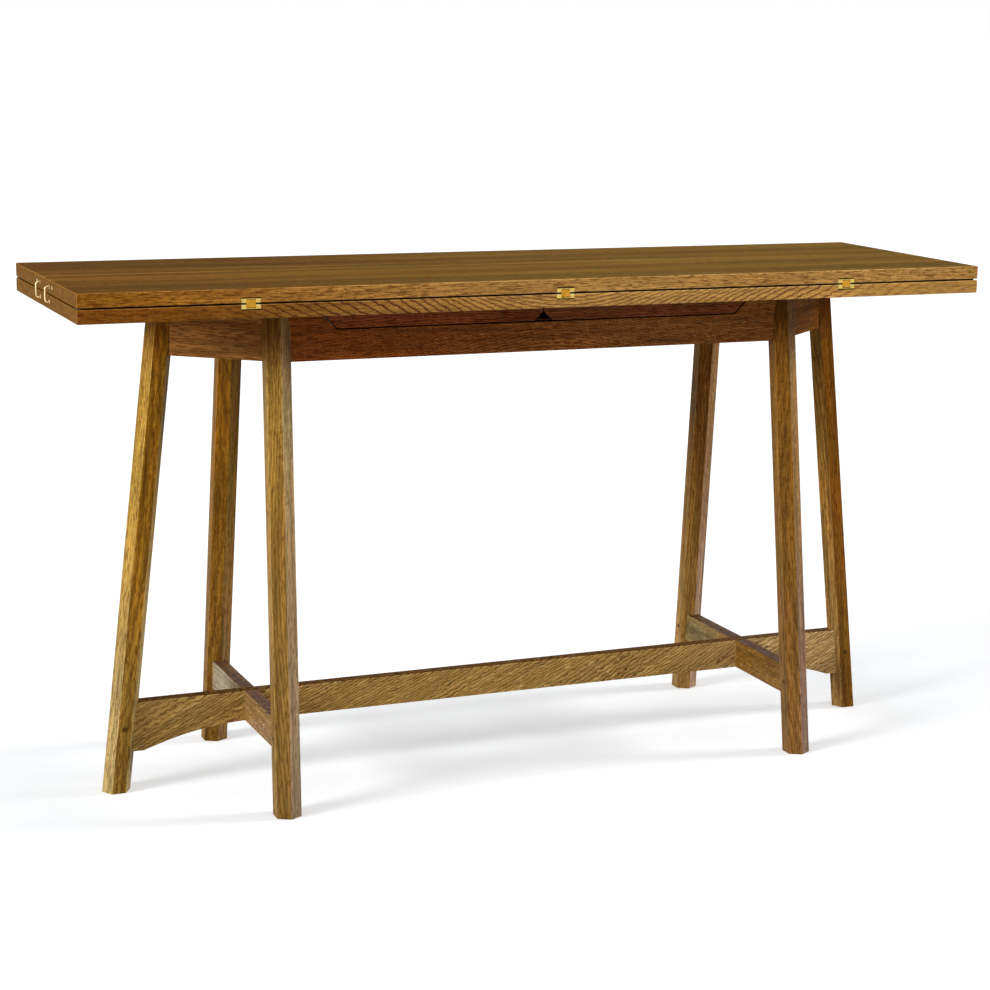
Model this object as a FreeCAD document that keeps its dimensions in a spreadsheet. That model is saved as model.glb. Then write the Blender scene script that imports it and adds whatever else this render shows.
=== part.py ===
import FreeCAD, Part
import os

# Folding console table in oak: a fixed leaf on a six-legged frame, a second leaf that
# lies on it and turns over to the front on three double-pivot brass hinges, two
# supports in the front rail that swing out under it, and brass clips on both ends.
# Frame: origin on the floor under the middle of the top, +X along the table, the
# hinged edge faces -Y, +Z up. Millimetres and degrees.

doc = FreeCAD.newDocument("console_table")
sheet = doc.addObject("Spreadsheet::Sheet", "Sizes")
X, Y, Z = FreeCAD.Vector(1, 0, 0), FreeCAD.Vector(0, 1, 0), FreeCAD.Vector(0, 0, 1)


SIZES = {
    # top
    "table_height": 760,
    "top_length": 1408,
    "top_depth": 414,
    "leaf_thickness": 19.5,
    "leaf_gap": 2.4,
    "leaf_arris": 1.2,
    "front_board": 79,
    "second_board": 142,
    "third_board": 98,
    # legs
    "leg_side": 21,
    "lean_angle": 6.4,
    "rake_angle": 1,
    "end_leg_inset": 165,
    "side_leg_inset": 299,
    "side_leg_setback": 92.5,
    "frame_arris": 0.8,
    # rails
    "rail_depth": 73.5,
    "rail_thickness": 20,
    "rail_tongue": 8,
    "rail_tongue_in": 8,
    "rail_shoulder": 9,
    # stretchers
    "stretcher_top": 134.5,
    "stretcher_depth": 45,
    "stretcher_end_depth": 74.5,
    "arch_end_flat": 12.6,
    "stretcher_tongue": 9,
    "stretcher_shoulder": 8,
    "stretcher_tongue_in": 6,
    "peg_diameter": 7,
    "peg_proud": 0.3,
    # swing supports
    "support_inset": 87,
    "support_tail": 153,
    "support_height": 27.8,
    "support_top_gap": 0.4,
    "support_parting": 2,
    "support_end_gap": 3.1,
    "finger_notch": 13.5,
    "finger_depth": 15,
    "washer_thickness": 2,
    "washer_radius": 6.5,
    "pin_radius": 4,
    "pin_in_rail": 28,
    "pin_in_leaf": 8,
    "bore_clearance": 0.08,
    # hinges
    "hinge_inset": 237,
    "hinge_width": 27.4,
    "pivot_inset": 2.45,
    "link_width": 13.3,
    "hinge_pin_radius": 1.0,
    "knuckle_back": 3,
    "hinge_rim": 1,
    "strap_depth": 31,
    "strap_thickness": 2.2,
    "mortise_gap": 1.8,
    "side_gap": 0.15,
    "knuckle_chamfer": 0.8,
    "running_clearance": 0.05,
    # screws
    "screw_shank": 1.7,
    "screw_head": 3.1,
    "screw_length": 13,
    "screw_slot": 0.7,
    "strap_screw_apart": 16,
    "strap_screw_back": 20,
    # end clips
    "clip_wire": 1.5,
    "clip_bend": 3.4,
    "clip_stand": 5.4,
    "clip_drop": 20.5,
    "clip_apart": 62,
    "bush_radius": 2.7,
    "bush_length": 8,
    "button_length": 3,
    "dimple_radius": 1.8,
    "dimple_depth": 0.5,
    "tip_gap": 0.3,
    "rivet_radius": 2.1,
    "rivet_length": 1,
    "clip_end_play": 0.3,
    # top fixings and pads
    "block_length": 30,
    "block_reach": 24,
    "block_height": 16,
    "block_tongue_in": 8,
    "block_tongue": 6,
    "block_lip": 8,
    "rear_block_inset": 105,
    "front_block_inset": 37,
    "block_screw_length": 24,
    "pad_radius": 6,
    "pad_thickness": 2.2,
    "pad_inset": 6.5,
    "pad_inset_front": 12.5,
}
for row, (alias, value) in enumerate(SIZES.items(), 1):
    sheet.set(f"A{row}", alias.replace("_", " "))
    sheet.set(f"B{row}", str(value))
    sheet.setAlias(f"B{row}", alias)
doc.recompute()

# Places that several pieces share, as expressions on the sheet.
HALF_LENGTH = "(Sizes.top_length / 2)"
FRONT = "(-Sizes.top_depth / 2)"
UPPER_UNDER = "(Sizes.table_height - Sizes.leaf_thickness)"
LOWER_TOP = f"({UPPER_UNDER} - Sizes.leaf_gap)"
UNDER_TOP = f"({LOWER_TOP} - Sizes.leaf_thickness)"
RAIL_BOTTOM = f"({UNDER_TOP} - Sizes.rail_depth)"
RAIL_MIDDLE = f"({UNDER_TOP} - Sizes.rail_depth / 2)"
SIDE_LEG_OUT = f"({HALF_LENGTH} - Sizes.side_leg_inset)"
FACET = "(Sizes.leg_side * cos(30))"
CROSS_BOTTOM = "(Sizes.stretcher_top - Sizes.stretcher_depth)"
CROSS_MIDDLE = "(Sizes.stretcher_top - Sizes.stretcher_depth / 2)"
END_BOTTOM = "(Sizes.stretcher_top - Sizes.stretcher_end_depth)"
END_MIDDLE = "(Sizes.stretcher_top - Sizes.stretcher_end_depth / 2)"


# The middle line of a leg at a level: how far out along the table, and across it.
def end_leg_x(level):
    fall = f"({UNDER_TOP} - {level})"
    return f"({HALF_LENGTH} - Sizes.end_leg_inset + tan(Sizes.lean_angle) * {fall})"


def side_leg_x(level):
    return f"({SIDE_LEG_OUT} + tan(Sizes.rake_angle) * ({UNDER_TOP} - {level}))"


def side_leg_y(level):
    fall = f"({UNDER_TOP} - {level})"
    return f"(Sizes.top_depth / 2 - Sizes.side_leg_setback + tan(Sizes.lean_angle) * {fall})"


RAIL_LINE = side_leg_y(RAIL_MIDDLE)


# Small makers: each adds one object whose sizes and place are bound to the sheet.
def bind(piece, **expressions):
    for name, expression in expressions.items():
        piece.setExpression(name.replace("__", "."), str(expression))
    return piece


def place(piece, x, y, z):
    return bind(piece, Placement__Base__x=x, Placement__Base__y=y, Placement__Base__z=z)


def box(name, x, y, z, length, width, height, turn=None):
    piece = doc.addObject("Part::Box", name)
    bind(piece, Length=length, Width=width, Height=height)
    if turn is not None:
        piece.Placement.Rotation = FreeCAD.Rotation(Z, 1)
        bind(piece, Placement__Rotation__Angle=turn)
    return place(piece, x, y, z)


def middle_box(name, x, y, z, length, width, height, make=box):
    """A box given by the middle of its underside."""
    return make(
        name, f"{x} - ({length}) / 2", f"{y} - ({width}) / 2", z, length, width, height
    )


def eased(name, form, radius, chosen, **dimensions):
    """A bar or board whose chosen edges are rounded over by hand.

    chosen picks edges of the plain form by their boxes, before it is placed."""
    body = doc.addObject("PartDesign::Body", name)
    plain = body.newObject("PartDesign::Additive" + form, name + "_plain")
    if form == "Prism":
        plain.Polygon = 6
    bind(plain, **dimensions)
    doc.recompute()
    edges = [
        f"Edge{number}"
        for number, edge in enumerate(plain.Shape.Edges, 1)
        if chosen(edge.BoundBox)
    ]
    rounded = body.newObject("PartDesign::Fillet", name + "_rounded")
    rounded.Base = (plain, edges)
    bind(rounded, Radius=radius)
    return body


def along_the_board(edge):
    return edge.XLength > edge.YLength + edge.ZLength


def eased_box(name, x, y, z, length, width, height, turn=None):
    """A box with its edges along the grain rounded, for the boards of the frame."""
    piece = eased(name, "Box", "Sizes.frame_arris", along_the_board,
                  Length=length, Width=width, Height=height)
    if turn is not None:
        piece.Placement.Rotation = FreeCAD.Rotation(Z, 1)
        bind(piece, Placement__Rotation__Angle=turn)
    return place(piece, x, y, z)


def rod(name, radius, height, along, x, y, z):
    """A cylinder that starts at x, y, z and runs along a direction."""
    piece = doc.addObject("Part::Cylinder", name)
    piece.Placement.Rotation = FreeCAD.Rotation(Z, along)
    bind(piece, Radius=radius, Height=height)
    return place(piece, x, y, z)


def wedge(name, bottom, top, y_near, y_far, z_low, z_high):
    """A prism along Y whose outline is a trapezoid: its x range low and high."""
    piece = doc.addObject("Part::Wedge", name)
    piece.Placement.Rotation = FreeCAD.Rotation(X, 90)
    bind(piece, Xmin=bottom[0], Xmax=bottom[1], X2min=top[0], X2max=top[1])
    bind(piece, Ymin=z_low, Ymax=z_high)
    bind(piece, Zmin=f"-({y_far})", Zmax=f"-({y_near})")
    return bind(piece, Z2min=f"-({y_far})", Z2max=f"-({y_near})")


def span(side, near, far):
    """An x range on the left (-1) or right (1) of the middle, low end first."""
    return (near, far) if side > 0 else (f"-({far})", f"-({near})")


def fuse(name, *pieces):
    piece = doc.addObject("Part::MultiFuse", name)
    piece.Shapes = list(pieces)
    return piece


def cut(name, base, *tools):
    tool = tools[0] if len(tools) == 1 else fuse(name + "_tools", *tools)
    piece = doc.addObject("Part::Cut", name)
    piece.Base, piece.Tool = base, tool
    return piece


def common(name, base, tool):
    piece = doc.addObject("Part::Common", name)
    piece.Base, piece.Tool = base, tool
    return piece


def screw_of(name, length, x, y, face, up):
    """A countersunk wood screw driven up or down, its slotted head level with a face.

    Gives the solid body that its hole is cut with, and the slotted screw."""
    along = Z if up > 0 else -Z
    head = doc.addObject("Part::Cone", name + "_head")
    head.Placement.Rotation = FreeCAD.Rotation(Z, along)
    bind(head, Radius1="Sizes.screw_head", Radius2="Sizes.screw_shank")
    bind(head, Height="Sizes.screw_head - Sizes.screw_shank")
    place(head, x, y, face)
    shank = rod(name + "_shank", "Sizes.screw_shank", length, along, x, y, face)
    depth = "Sizes.screw_slot"
    low = f"{face} - 1" if up > 0 else f"{face} - {depth}"
    slot = middle_box(
        name + "_slot", x, y, low, "4 * Sizes.screw_head", depth, f"{depth} + 1"
    )
    whole = fuse(name + "_whole", head, shank)
    return whole, cut(name, whole, slot)


nodes = []


def node(name, *pieces):
    """Names the sub-part made of one piece, or of a group of like pieces."""
    if len(pieces) == 1:
        piece = pieces[0]
    else:
        piece = doc.addObject("Part::Compound", name + "_group")
        piece.Links = list(pieces)
    piece.Label = name
    nodes.append(piece)
    return piece


# Legs: straight hexagonal bars that lean outwards. The two end legs stand on the
# centre line with their corners along X; the four side legs have corners along Y.
def below_the_top(edge):
    return edge.ZMin < 1


def leg_blank(name, side_x, side_y):
    lean, rake = f"{-(side_y or side_x)} * Sizes.lean_angle", "0"
    if side_y:
        rake = f"{side_x} * Sizes.rake_angle"
    piece = eased(name, "Prism", "Sizes.frame_arris", below_the_top,
                  Circumradius="Sizes.leg_side", Height=UNDER_TOP,
                  FirstAngle=lean, SecondAngle=rake)
    if side_y == 0:
        return place(piece, f"{side_x} * {end_leg_x(0)}", 0, 0)
    piece.Placement.Rotation = FreeCAD.Rotation(Z, 90)
    return place(piece, f"{side_x} * {side_leg_x(0)}", f"{side_y} * {side_leg_y(0)}", 0)


LEGS = {
    "left_end_leg": (-1, 0),
    "left_rear_leg": (-1, 1),
    "left_front_leg": (-1, -1),
    "right_rear_leg": (1, 1),
    "right_front_leg": (1, -1),
    "right_end_leg": (1, 0),
}
blanks = {name: leg_blank(name + "_blank", *sides) for name, sides in LEGS.items()}

# Rails: each is a board on edge with a thinner tongue that is let into the legs.
# A rail's blank and its tongue share one line, so the mortises fit the tongues.
TONGUE_LOW = f"({RAIL_BOTTOM} + Sizes.rail_shoulder)"
TONGUE_HIGH = "(Sizes.rail_depth - 2 * Sizes.rail_shoulder)"


def long_rail(name, side_y, thickness, low, height, make=box):
    half = f"({side_leg_x(RAIL_MIDDLE)} - {FACET} + Sizes.rail_tongue_in)"
    return middle_box(
        name, 0, f"{side_y} * {RAIL_LINE}", low, f"2 * {half}", thickness, height, make
    )


# A corner rail runs from an end leg's inner facet to a side leg's outer facet.
END_FACET_X = f"({end_leg_x(RAIL_MIDDLE)} - {FACET} * cos(30))"
END_FACET_Y = f"({FACET} * sin(30))"
SIDE_FACET_X = f"({side_leg_x(RAIL_MIDDLE)} + {FACET} * sin(30))"
SIDE_FACET_Y = f"({RAIL_LINE} - {FACET} * cos(30))"
RUN_X = f"({END_FACET_X} - {SIDE_FACET_X})"
RUN_Y = f"({SIDE_FACET_Y} - {END_FACET_Y})"
RUN = f"sqrt({RUN_X} ^ 2 + {RUN_Y} ^ 2)"


def corner_rail(name, side_x, side_y, thickness, low, height, make=box):
    along_x, along_y = f"({-side_x} * {RUN_X} / {RUN})", f"({side_y} * {RUN_Y} / {RUN})"
    start_x = f"{side_x} * {END_FACET_X} - {along_x} * Sizes.rail_tongue_in"
    start_y = f"{side_y} * {END_FACET_Y} - {along_y} * Sizes.rail_tongue_in"
    return make(
        name,
        f"{start_x} + {along_y} * ({thickness}) / 2",
        f"{start_y} - {along_x} * ({thickness}) / 2",
        low,
        f"{RUN} + 2 * Sizes.rail_tongue_in",
        thickness,
        height,
        turn=f"atan2({along_y}; {along_x})",
    )


rails, tongues = {}, {}
for name, side_y in {"front_rail": -1, "rear_rail": 1}.items():
    rails[name] = long_rail(
        name + "_blank",
        side_y,
        "Sizes.rail_thickness",
        RAIL_BOTTOM,
        "Sizes.rail_depth",
        eased_box,
    )
    tongues[name] = long_rail(
        name + "_tongue", side_y, "Sizes.rail_tongue", TONGUE_LOW, TONGUE_HIGH
    )
CORNERS = {
    "left_front_corner_rail": (-1, -1),
    "left_rear_corner_rail": (-1, 1),
    "right_front_corner_rail": (1, -1),
    "right_rear_corner_rail": (1, 1),
}
for name, (side_x, side_y) in CORNERS.items():
    blank = corner_rail(
        name + "_board",
        side_x,
        side_y,
        "Sizes.rail_thickness",
        RAIL_BOTTOM,
        "Sizes.rail_depth",
        eased_box,
    )
    # The two rails that meet an end leg are mitred to each other on the centre line.
    other_half = middle_box(
        name + "_mitre",
        f"{side_x} * {HALF_LENGTH}",
        f"{-side_y} * Sizes.top_depth / 4",
        0,
        "Sizes.top_length",
        "Sizes.top_depth / 2",
        "Sizes.table_height",
    )
    rails[name] = cut(name + "_blank", blank, other_half)
    tongues[name] = corner_rail(
        name + "_tongue", side_x, side_y, "Sizes.rail_tongue", TONGUE_LOW, TONGUE_HIGH
    )

# Stretchers: one long board between the end legs and two short ones across it,
# halved together where they cross, so that all three tops are level.
LONG_HALF = f"({end_leg_x(END_MIDDLE)} + Sizes.stretcher_tongue_in)"
CROSS_X = side_leg_x(CROSS_MIDDLE)
CROSS_HALF = f"({side_leg_y(CROSS_MIDDLE)} + Sizes.stretcher_tongue_in)"
SHOULDERS = "2 * Sizes.stretcher_shoulder"
long_blank = middle_box(
    "long_blank",
    0,
    0,
    END_BOTTOM,
    f"2 * {LONG_HALF}",
    "Sizes.leg_side",
    "Sizes.stretcher_end_depth",
    eased_box,
)
long_tongue = middle_box(
    "long_tongue",
    0,
    0,
    f"{END_BOTTOM} + Sizes.stretcher_shoulder",
    f"2 * {LONG_HALF}",
    "Sizes.stretcher_tongue",
    f"Sizes.stretcher_end_depth - {SHOULDERS}",
)
# Between the cross stretchers the underside is straight; from there it falls in an
# arc, level where it starts, to the full depth beside the end leg.
straight = middle_box(
    "long_relief",
    0,
    0,
    f"{CROSS_BOTTOM} - Sizes.stretcher_end_depth",
    f"2 * {CROSS_X}",
    "2 * Sizes.leg_side",
    "Sizes.stretcher_end_depth",
)
ARC_RISE = "(Sizes.stretcher_end_depth - Sizes.stretcher_depth)"
ARC_END = f"({end_leg_x(END_BOTTOM)} - Sizes.leg_side - Sizes.arch_end_flat)"
ARC_RUN = f"({ARC_END} - {CROSS_X})"
ARC_RADIUS = f"(({ARC_RUN} ^ 2 + {ARC_RISE} ^ 2) / (2 * {ARC_RISE}))"
arcs = [
    rod(
        f"long_arc_{side}",
        ARC_RADIUS,
        "2 * Sizes.leg_side",
        Y,
        f"{side} * {CROSS_X}",
        "-Sizes.leg_side",
        f"{CROSS_BOTTOM} - {ARC_RADIUS}",
    )
    for side in (-1, 1)
]
laps = [
    middle_box(
        f"long_lap_{side}",
        f"{side} * {CROSS_X}",
        0,
        f"{CROSS_BOTTOM} - Sizes.stretcher_end_depth",
        "Sizes.leg_side",
        "2 * Sizes.leg_side",
        f"Sizes.stretcher_end_depth + Sizes.stretcher_depth / 2",
    )
    for side in (-1, 1)
]
cross_blanks, cross_tongues = {}, {}
for side in (-1, 1):
    blank = eased_box(
        f"cross_board_{side}",
        f"{side} * {CROSS_X} + Sizes.leg_side / 2",
        f"-{CROSS_HALF}",
        CROSS_BOTTOM,
        f"2 * {CROSS_HALF}",
        "Sizes.leg_side",
        "Sizes.stretcher_depth",
        turn="90",
    )
    lap = middle_box(
        f"cross_lap_{side}",
        f"{side} * {CROSS_X}",
        0,
        CROSS_MIDDLE,
        "2 * Sizes.leg_side",
        "Sizes.leg_side",
        "Sizes.stretcher_depth",
    )
    cross_blanks[side] = cut(f"cross_blank_{side}", blank, lap)
    cross_tongues[side] = middle_box(
        f"cross_tongue_{side}",
        f"{side} * {CROSS_X}",
        0,
        f"{CROSS_BOTTOM} + Sizes.stretcher_shoulder",
        "Sizes.stretcher_tongue",
        f"2 * {CROSS_HALF}",
        f"Sizes.stretcher_depth - {SHOULDERS}",
    )

# Pegs: a dark round peg through each leg and the stretcher tongue inside it, across
# the facets of the leg and a hair proud of them.
PEG_LENGTH = f"(2 * {FACET} + 2 * Sizes.peg_proud)"
pegs = {}
for name, (side_x, side_y) in LEGS.items():
    if side_y == 0:
        start = (
            f"{side_x} * {end_leg_x(END_MIDDLE)}",
            f"-{PEG_LENGTH} / 2",
            END_MIDDLE,
        )
        along = Y
    else:
        start = (
            f"{side_x} * {side_leg_x(CROSS_MIDDLE)} - {PEG_LENGTH} / 2",
            f"{side_y} * {side_leg_y(CROSS_MIDDLE)}",
            CROSS_MIDDLE,
        )
        along = X
    pegs[name] = rod(name + "_peg", "Sizes.peg_diameter / 2", PEG_LENGTH, along, *start)
node("stretcher_pegs", *pegs.values())

# Each leg is its blank less the tongues and the peg that enter it.
ENTERS = {
    name: [tongue for rail, tongue in tongues.items() if rail in CORNERS
           and CORNERS[rail][0] == side_x and side_y in (0, CORNERS[rail][1])]
    for name, (side_x, side_y) in LEGS.items()
}
legs = {}
for name, (side_x, side_y) in LEGS.items():
    entering = ENTERS[name] + [pegs[name]]
    if side_y == 0:
        entering.append(long_tongue)
    else:
        entering.append(cross_tongues[side_x])
        entering.append(tongues["front_rail" if side_y < 0 else "rear_rail"])
    legs[name] = node(name, cut(name, blanks[name], *entering))

# Each stretcher is its blank less the finished legs, which leaves its tongues.
end_legs = [legs["left_end_leg"], legs["right_end_leg"]]
end_pegs = [pegs["left_end_leg"], pegs["right_end_leg"]]
node(
    "long_stretcher",
    cut("long_stretcher", long_blank, straight, *arcs, *laps, *end_legs, *end_pegs),
)
for side, word in ((-1, "left"), (1, "right")):
    names = [f"{word}_rear_leg", f"{word}_front_leg"]
    node(
        f"{word}_cross_stretcher",
        cut(
            f"{word}_cross_stretcher",
            cross_blanks[side],
            *[legs[name] for name in names],
            *[pegs[name] for name in names],
        ),
    )

# The front rail has a long notch in its top edge, with sloping ends, in which the
# two swing supports lie. Everything in it follows the supports' own sizes.
SUPPORT_FOOT = f"({UNDER_TOP} - Sizes.support_top_gap - Sizes.support_height)"
NOTCH_FLOOR = f"({SUPPORT_FOOT} - Sizes.washer_thickness)"
RAIL_FRONT = f"(-{RAIL_LINE} - Sizes.rail_thickness / 2)"
RAIL_BACK = f"(-{RAIL_LINE} + Sizes.rail_thickness / 2)"
OUTER_LOW = f"({SIDE_LEG_OUT} - Sizes.support_inset)"
OUTER_HIGH = f"({OUTER_LOW} + Sizes.support_height)"
END_GAP = "Sizes.support_end_gap"
NOTCH_LOW = f"({OUTER_LOW} + {END_GAP} - Sizes.washer_thickness)"
NOTCH_RISE = f"({UNDER_TOP} - {NOTCH_FLOOR} + 2)"
notch = wedge(
    "rail_notch",
    (f"-{NOTCH_LOW}", NOTCH_LOW),
    (f"-({NOTCH_LOW} + {NOTCH_RISE})", f"{NOTCH_LOW} + {NOTCH_RISE}"),
    f"{RAIL_FRONT} - 1",
    f"{RAIL_BACK} + 1",
    NOTCH_FLOOR,
    f"{UNDER_TOP} + 2",
)
support_pins, washers = [], []
for side, word in ((-1, "left"), (1, "right")):
    pivot_x = f"{side} * ({OUTER_LOW} - Sizes.support_tail)"
    body = wedge(
        f"{word}_support_blank",
        span(side, "Sizes.support_parting / 2", OUTER_LOW),
        span(side, "Sizes.support_parting / 2", OUTER_HIGH),
        RAIL_FRONT,
        RAIL_BACK,
        SUPPORT_FOOT,
        f"{SUPPORT_FOOT} + Sizes.support_height",
    )
    finger = wedge(
        f"{word}_support_finger",
        span(side, "0", "Sizes.support_parting / 2 + Sizes.finger_notch + 1"),
        span(side, "0", "Sizes.support_parting / 2"),
        f"{RAIL_FRONT} - 1",
        f"{RAIL_FRONT} + Sizes.finger_depth",
        f"{SUPPORT_FOOT} - 1",
        f"{SUPPORT_FOOT} + Sizes.finger_notch",
    )
    bore = rod(
        f"{word}_support_bore",
        "Sizes.pin_radius + Sizes.bore_clearance",
        "Sizes.support_height + 2",
        Z,
        pivot_x,
        f"-{RAIL_LINE}",
        f"{SUPPORT_FOOT} - 1",
    )
    node(f"{word}_support", cut(f"{word}_support", body, finger, bore))
    pin = rod(
        f"{word}_pin",
        "Sizes.pin_radius",
        f"{UNDER_TOP} - {NOTCH_FLOOR} + Sizes.pin_in_rail + Sizes.pin_in_leaf",
        Z,
        pivot_x,
        f"-{RAIL_LINE}",
        f"{NOTCH_FLOOR} - Sizes.pin_in_rail",
    )
    disc = rod(
        f"{word}_washer_disc",
        "Sizes.washer_radius",
        "Sizes.washer_thickness",
        Z,
        pivot_x,
        f"-{RAIL_LINE}",
        NOTCH_FLOOR,
    )
    support_pins.append(node(f"{word}_support_pin", pin))
    washers.append(cut(f"{word}_washer", disc, pin))
node("support_washers", *washers)

# Fixing blocks: small wooden blocks whose tongue sits in a slot of a long rail and
# whose screw pulls the fixed leaf down on to the rails.
BLOCK_LOW = f"({UNDER_TOP} - Sizes.block_height)"
blocks, block_screws, block_holes = [], [], []
slots = {"front_rail": [], "rear_rail": []}
FRONT_BLOCK = f"({SIDE_LEG_OUT} - Sizes.front_block_inset)"
REAR_BLOCK = f"({SIDE_LEG_OUT} - Sizes.rear_block_inset)"
BLOCKS = [
    ("front_rail", -1, f"-{FRONT_BLOCK}"),
    ("front_rail", -1, FRONT_BLOCK),
    ("rear_rail", 1, f"-{REAR_BLOCK}"),
    ("rear_rail", 1, "0"),
    ("rear_rail", 1, REAR_BLOCK),
]
for number, (rail, side_y, x) in enumerate(BLOCKS, 1):
    face = f"({RAIL_LINE} - Sizes.rail_thickness / 2)"
    block = middle_box(
        f"block_body_{number}",
        x,
        f"{side_y} * ({face} - Sizes.block_reach / 2)",
        BLOCK_LOW,
        "Sizes.block_length",
        "Sizes.block_reach",
        "Sizes.block_height",
    )
    slot = middle_box(
        f"block_tongue_{number}",
        x,
        f"{side_y} * ({face} + Sizes.block_tongue_in / 2 - 1)",
        f"{BLOCK_LOW} + Sizes.block_height - Sizes.block_lip - Sizes.block_tongue / 2",
        "Sizes.block_length",
        "Sizes.block_tongue_in + 2",
        "Sizes.block_tongue",
    )
    slots[rail].append(slot)
    y = f"{side_y} * ({face} - Sizes.block_reach / 2)"
    hole, screw = screw_of(
        f"block_screw_{number}", "Sizes.block_screw_length", x, y, BLOCK_LOW, 1
    )
    block_screws.append(screw)
    block_holes.append(hole)
    whole = fuse(f"block_whole_{number}", block, slot)
    blocks.append(cut(f"block_{number}", whole, hole))
node("fixing_blocks", *blocks)
node("fixing_screws", *block_screws)

# Each rail is its blank less the legs it enters and what is let into it.
node(
    "front_rail",
    cut(
        "front_rail",
        rails["front_rail"],
        notch,
        *support_pins,
        *slots["front_rail"],
        legs["left_front_leg"],
        legs["right_front_leg"],
    ),
)
node(
    "rear_rail",
    cut(
        "rear_rail",
        rails["rear_rail"],
        *slots["rear_rail"],
        legs["left_rear_leg"],
        legs["right_rear_leg"],
    ),
)
for name, (side_x, side_y) in CORNERS.items():
    word = "left" if side_x < 0 else "right"
    side_leg = f"{word}_{'front' if side_y < 0 else 'rear'}_leg"
    node(name, cut(name, rails[name], legs[f"{word}_end_leg"], legs[side_leg]))

# Hinges: on each leaf a brass strap with a knuckle block at the edge, and in a pocket
# of the two blocks a link on two pins. The pins sit as deep behind the edge as they
# lie behind the leaf's face, so that the leaf turns over level with the fixed one and
# the same narrow gap that was between their faces is then between their edges.
KNUCKLE = "(2 * Sizes.pivot_inset)"
PIN_Y = f"({FRONT} + Sizes.pivot_inset)"
LOWER_PIN_Z = f"({LOWER_TOP} - Sizes.pivot_inset)"
UPPER_PIN_Z = f"({UPPER_UNDER} + Sizes.pivot_inset)"
WIDTH = "Sizes.hinge_width"
HINGE_OUT = f"({HALF_LENGTH} - Sizes.hinge_inset)"
HINGES = {"left": f"-{HINGE_OUT}", "middle": "0", "right": HINGE_OUT}
BLOCK_DEEP = f"({KNUCKLE} + Sizes.knuckle_back)"
CHAMFER = "Sizes.knuckle_chamfer"
GAP = "Sizes.side_gap"


link_pins, pockets, plate_screws = [], {-1: [], 1: []}, {-1: [], 1: []}
for word, x in HINGES.items():
    slot = middle_box(
        f"{word}_link_slot",
        x,
        f"{FRONT} + ({KNUCKLE} + {GAP}) / 2 - 1",
        f"{LOWER_TOP} - {KNUCKLE} - {GAP}",
        f"Sizes.link_width + 2 * {GAP}",
        f"{KNUCKLE} + {GAP} + 2",
        f"Sizes.leaf_gap + 2 * {KNUCKLE} + 2 * {GAP}",
    )
    pins = [
        rod(
            f"{word}_pin_{level}",
            "Sizes.hinge_pin_radius",
            WIDTH,
            X,
            f"{x} - {WIDTH} / 2",
            PIN_Y,
            z,
        )
        for level, z in (("low", LOWER_PIN_Z), ("high", UPPER_PIN_Z))
    ]
    link_pins += pins
    for up, face, z in ((-1, LOWER_TOP, LOWER_PIN_Z), (1, UPPER_UNDER, UPPER_PIN_Z)):
        # up is -1 where the hinge is let down into the fixed leaf, 1 for the other.
        level = "lower" if up < 0 else "upper"
        key = f"{word}_{level}"

        def let_in(part, depth, thickness, slack):
            low = face if up > 0 else f"({face} - ({thickness}))"
            return middle_box(
                f"{key}_{part}",
                x,
                f"{FRONT} + ({depth}) / 2",
                low,
                f"{WIDTH} + 2 * ({slack})",
                depth,
                thickness,
            )

        knuckle = let_in("knuckle", BLOCK_DEEP, f"{KNUCKLE} + Sizes.hinge_rim", 0)
        strap = let_in("strap", "Sizes.strap_depth", "Sizes.strap_thickness", 0)
        arris = box(
            f"{key}_arris",
            f"{x} - {WIDTH}",
            FRONT,
            f"{face} - {CHAMFER}",
            f"2 * {WIDTH}",
            f"{CHAMFER} * sqrt(2)",
            f"{CHAMFER} * sqrt(2)",
        )
        arris.Placement.Rotation = FreeCAD.Rotation(X, 45)
        bore = rod(
            f"{key}_bore",
            "Sizes.hinge_pin_radius + Sizes.running_clearance",
            f"{WIDTH} + 2",
            X,
            f"{x} - {WIDTH} / 2 - 1",
            PIN_Y,
            z,
        )
        screws = [
            screw_of(
                f"{key}_screw_{number}",
                "Sizes.screw_length",
                f"{x} + {number} * Sizes.strap_screw_apart / 2",
                f"{FRONT} + Sizes.strap_screw_back",
                face,
                up,
            )
            for number in (-1, 1)
        ]
        holes = [whole for whole, screw in screws]
        plate_screws[up] += [screw for whole, screw in screws]
        plate = fuse(f"{key}_plate_blank", knuckle, strap)
        node(
            f"{word}_hinge_{level}_plate",
            cut(f"{key}_plate", plate, slot, arris, bore, *holes),
        )
        pockets[up] += [
            let_in("knuckle_pocket", f"{BLOCK_DEEP} + 2 * {GAP}",
                   f"{KNUCKLE} + Sizes.hinge_rim + Sizes.mortise_gap", GAP),
            let_in("strap_pocket", f"Sizes.strap_depth + {GAP}",
                   "Sizes.strap_thickness", GAP),
            *holes,
        ]
    link_bar = middle_box(
        f"{word}_link_bar",
        x,
        f"{FRONT} + {KNUCKLE} / 2",
        LOWER_PIN_Z,
        "Sizes.link_width",
        KNUCKLE,
        f"{UPPER_PIN_Z} - {LOWER_PIN_Z}",
    )
    ends = [
        rod(
            f"{word}_link_end_{level}",
            "Sizes.pivot_inset",
            "Sizes.link_width",
            X,
            f"{x} - Sizes.link_width / 2",
            PIN_Y,
            z,
        )
        for level, z in (("low", LOWER_PIN_Z), ("high", UPPER_PIN_Z))
    ]
    link = fuse(f"{word}_link_blank", link_bar, *ends)
    node(f"{word}_hinge_link", cut(f"{word}_hinge_link", link, *pins))
node("hinge_pins", *link_pins)
node("lower_hinge_screws", *plate_screws[-1])
node("upper_hinge_screws", *plate_screws[1])

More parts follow.
